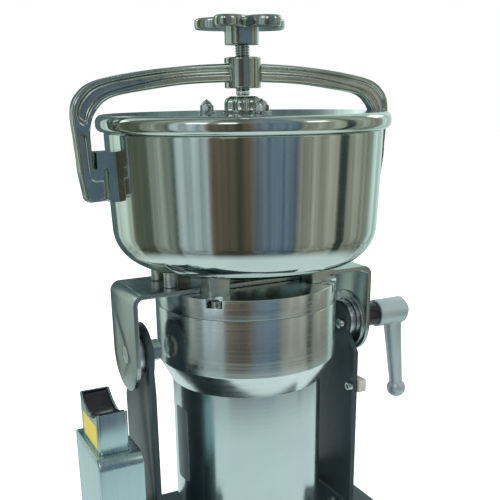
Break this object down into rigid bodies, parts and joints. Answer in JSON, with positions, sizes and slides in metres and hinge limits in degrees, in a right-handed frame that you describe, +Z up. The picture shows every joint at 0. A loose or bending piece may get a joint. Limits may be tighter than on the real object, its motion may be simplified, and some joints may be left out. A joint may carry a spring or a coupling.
{
  "type": "high-speed grinder",
  "caption": "Benchtop powder grinder: a lidded steel bowl with whirling blades on its motor, tilting in a forked stand with a clamp lever and a star-knob lid clamp.",
  "frame": {"origin": "on the standing surface, under the middle of the outline's box; the bowl and motor axis stands at x = -0.01025 m", "axes": "+Z up; +X to the machine's right, along the tilt axis towards the clamp lever; the front, where the bowl pours, is -Y"},
  "size_m": [0.3644, 0.2546, 0.5048],
  "materials": {
    "polished_steel": "mirror-polished stainless steel",
    "chrome": "bright plated",
    "brushed_steel": "ground stainless steel",
    "satin_sheet": "satin stainless sheet",
    "turned_aluminium": "fine-turned and bright",
    "black_paint": "semi-gloss near-black paint",
    "lever_grey": "satin silver-grey lacquer",
    "black_plastic": "glossy black moulding",
    "rubber": "matt black rubber",
    "nylon": "natural nylon, beige",
    "core_iron": "laminated core",
    "copper_winding": "copper windings on a laminated core",
    "silicone": "pale silicone"
  },
  "bodies": {
    "stand": {"base_plate": "black_paint", "front_left_foot": "rubber", "front_right_foot": "rubber", "rear_left_foot": "rubber", "rear_right_foot": "rubber", "left_upright": "black_paint", "right_upright": "black_paint", "tilt_stop": "nylon", "tilt_stop_screw": "chrome", "right_pivot_disc": "turned_aluminium", "right_pivot_screw": "chrome", "left_pivot_disc": "turned_aluminium", "left_pivot_washer": "nylon", "control_box": "satin_sheet", "cable_gland": "black_plastic", "switch_guard": "satin_sheet", "switch_body": "black_plastic"},
    "head": {"left_pivot_shaft": "chrome", "left_pivot_nut": "chrome", "tilt_bracket": "satin_sheet", "motor_casing": "polished_steel", "lower_end_shield": "turned_aluminium", "upper_end_shield": "turned_aluminium", "upper_bearing": "chrome", "lower_bearing_carrier": "turned_aluminium", "lower_bearing": "chrome", "stator": "copper_winding", "bowl": "polished_steel", "shaft_seal": "rubber", "front_left_spacer": "brushed_steel", "front_right_spacer": "brushed_steel", "rear_left_spacer": "brushed_steel", "rear_right_spacer": "brushed_steel", "left_lug": "chrome", "right_lug": "chrome", "lid": "polished_steel", "lid_seal": "silicone", "lid_hub": "chrome", "lid_stiffener": "brushed_steel", "left_acorn_nut": "chrome", "front_acorn_nut": "chrome", "right_acorn_nut": "chrome"},
    "spindle": {"rotor": "core_iron", "motor_shaft": "chrome", "lower_blade_collar": "brushed_steel", "middle_blade_collar": "brushed_steel", "upper_blade_collar": "brushed_steel", "lower_blade": "brushed_steel", "middle_blade": "brushed_steel", "upper_blade": "brushed_steel", "blade_nut": "chrome"},
    "arm": {"clamp_arm": "chrome"},
    "pad": {"screw_pad": "brushed_steel"},
    "knob": {"clamp_screw": "chrome", "star_knob": "chrome"},
    "lever": {"clamp_lever": "lever_grey", "lever_bush": "black_plastic", "clamp_stud": "chrome"},
    "rocker": {"switch_rocker": "black_plastic"}
  },
  "joints": [
    {"name": "head_tilt", "type": "hinge", "parent": "stand", "child": "head", "pos_m": [-0.01025, 0, 0.225], "axis": [1, 0, 0], "range_deg": [0, 115]},
    {"name": "spindle_spin", "type": "hinge", "parent": "head", "child": "spindle", "pos_m": [-0.01025, 0, 0.3], "axis": [0, 0, 1], "continuous": true},
    {"name": "arm_swing", "type": "hinge", "parent": "head", "child": "arm", "pos_m": [-0.01025, 0, 0.46], "axis": [0, 0, 1], "range_deg": [0, 65]},
    {"name": "screw_rise", "type": "slide", "parent": "arm", "child": "pad", "axis": [0, 0, 1], "range_m": [0, 0.0036]},
    {"name": "knob_turn", "type": "hinge", "parent": "pad", "child": "knob", "pos_m": [-0.01025, 0, 0.5], "axis": [0, 0, 1], "range_deg": [0, 720]},
    {"name": "lever_turn", "type": "hinge", "parent": "stand", "child": "lever", "pos_m": [0.12975, 0, 0.225], "axis": [1, 0, 0], "range_deg": [-75, 75]},
    {"name": "switch_rock", "type": "hinge", "parent": "stand", "child": "rocker", "pos_m": [-0.159, -0.022, 0.182], "axis": [1, 0, 0], "range_deg": [-8, 8]}
  ],
  "couplings": [
    {"joint": "screw_rise", "follows": "knob_turn", "m_per_rad": 0.00027852}
  ]
}
